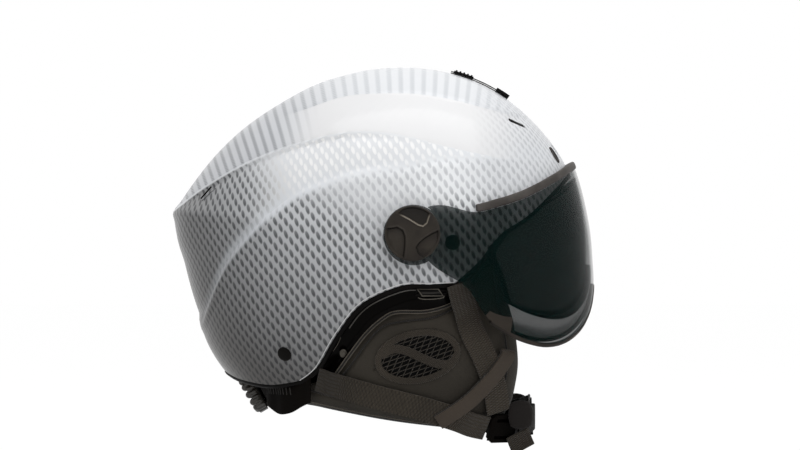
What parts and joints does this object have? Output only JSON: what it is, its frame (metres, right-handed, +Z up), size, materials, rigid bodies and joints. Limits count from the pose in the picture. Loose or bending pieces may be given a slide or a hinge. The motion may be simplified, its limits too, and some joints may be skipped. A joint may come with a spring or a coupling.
{
  "type": "open face flying helmet",
  "caption": "Open-face flying helmet with a composite shell, foam liner, hinged double visor, ear pads, chin strap and buckle, crown vent slider and rear size dial.",
  "frame": {"origin": "middle of the visor's pivot axis, where the head sits in the helmet", "axes": "+X to the face, +Y to the wearer's left, +Z up towards the crown"},
  "size_m": [0.2882, 0.2478, 0.2627],
  "materials": {
    "shell": "glossy composite with a carbon weave under clear coat",
    "edge_trim": "satin black edge profile",
    "lower_shell": "gloss black",
    "liner": "black expanded foam",
    "comfort_fabric": "brushed black lining",
    "ear_fabric": "quilted near-black fabric with piping",
    "mesh": "spacer mesh",
    "snap_metal": "painted grey snap",
    "trim_plastic": "satin black moulding",
    "outer_lens": "smoke tinted clear sheet",
    "inner_lens": "smoke tinted clear sheet",
    "seal_rubber": "soft black seal",
    "pivot_plastic": "dark grey moulding",
    "knob_plastic": "satin warm black moulding",
    "webbing": "woven black webbing",
    "tape": "black binding tape with piped edges",
    "buckle_plastic": "gloss black moulding",
    "vent_plastic": "black moulding",
    "dial_plastic": "glossy dark grey moulding"
  },
  "bodies": {
    "helmet": {"outer_shell": "shell", "shell_edge_trim": "edge_trim", "lower_shell_right": "lower_shell", "lower_shell_left": "lower_shell", "eps_liner": "liner", "brow_pad": "comfort_fabric", "crown_pad": "comfort_fabric", "rear_pad": "comfort_fabric", "temple_pad_right": "comfort_fabric", "temple_pad_left": "comfort_fabric", "ear_pad_right": "ear_fabric", "ear_pad_left": "ear_fabric", "ear_mesh_right": "mesh", "ear_mesh_left": "mesh", "ear_pad_snap_right": "snap_metal", "ear_pad_snap_left": "snap_metal", "pad_clip_right": "trim_plastic", "pad_clip_left": "trim_plastic", "pivot_stud_right": "pivot_plastic", "pivot_stud_left": "pivot_plastic", "pivot_washer_right": "seal_rubber", "pivot_washer_left": "seal_rubber", "strap_bolts": "trim_plastic", "front_strap_right": "webbing", "front_strap_left": "webbing", "rear_strap_right": "webbing", "rear_strap_left": "webbing", "binding_tape_right": "tape", "binding_tape_left": "tape", "strap_divider_right": "trim_plastic", "strap_divider_left": "trim_plastic", "strap_tail": "webbing", "chin_strap": "webbing", "chin_pad": "comfort_fabric", "buckle_socket": "buckle_plastic", "buckle_plug": "buckle_plastic", "vent_frame": "vent_plastic", "vent_grilles": "vent_plastic", "adjuster_housing": "trim_plastic", "adjuster_cover": "trim_plastic", "nape_pad": "comfort_fabric"},
    "visor": {"outer_lens": "outer_lens", "inner_lens": "inner_lens", "lens_gasket": "seal_rubber", "brow_seal": "seal_rubber", "lens_edge_trim": "seal_rubber"},
    "knob_right": {"pivot_knob_right": "knob_plastic"},
    "knob_left": {"pivot_knob_left": "knob_plastic"},
    "crown_slider": {"vent_slider": "vent_plastic"},
    "dial": {"size_dial": "dial_plastic"},
    "band_right": {"rack_band_right": "trim_plastic"},
    "band_left": {"rack_band_left": "trim_plastic"},
    "arm_upper": {"buckle_arm_upper": "buckle_plastic"},
    "arm_lower": {"buckle_arm_lower": "buckle_plastic"}
  },
  "joints": [
    {"name": "visor_hinge", "type": "hinge", "parent": "helmet", "child": "visor", "pos_m": [0, 0, 0], "axis": [0, -1, 0], "range_deg": [0, 52]},
    {"name": "knob_turn_right", "type": "hinge", "parent": "helmet", "child": "knob_right", "pos_m": [0, -0.119, 0], "axis": [0, -1, 0], "range_deg": [-90, 0]},
    {"name": "knob_turn_left", "type": "hinge", "parent": "helmet", "child": "knob_left", "pos_m": [0, 0.119, 0], "axis": [0, 1, 0], "range_deg": [-90, 0]},
    {"name": "vent_slide", "type": "hinge", "parent": "helmet", "child": "crown_slider", "pos_m": [0, 0, 0], "axis": [0, 1, 0], "range_deg": [0, 6.3]},
    {"name": "dial_turn", "type": "hinge", "parent": "helmet", "child": "dial", "pos_m": [-0.1008, 0, -0.1047], "axis": [-0.866, 0, -0.5], "range_deg": [-60, 60]},
    {"name": "band_slide_right", "type": "slide", "parent": "helmet", "child": "band_right", "axis": [0, -1, 0], "range_m": [-0.0054, 0.0054]},
    {"name": "band_slide_left", "type": "slide", "parent": "helmet", "child": "band_left", "axis": [0, 1, 0], "range_m": [-0.0054, 0.0054]},
    {"name": "release_upper", "type": "hinge", "parent": "helmet", "child": "arm_upper", "pos_m": [0.07253, 0.04829, -0.12183], "axis": [0.9505, 0.3107, 0], "range_deg": [0, 8], "stiffness_Nm_per_rad": 0.2},
    {"name": "release_lower", "type": "hinge", "parent": "helmet", "child": "arm_lower", "pos_m": [0.0732, 0.04623, -0.1387], "axis": [-0.9505, -0.3107, 0], "range_deg": [0, 8], "stiffness_Nm_per_rad": 0.2}
  ],
  "couplings": [
    {"joint": "band_slide_right", "follows": "dial_turn", "m_per_rad": 0.005093},
    {"joint": "band_slide_left", "follows": "dial_turn", "m_per_rad": 0.005093}
  ]
}
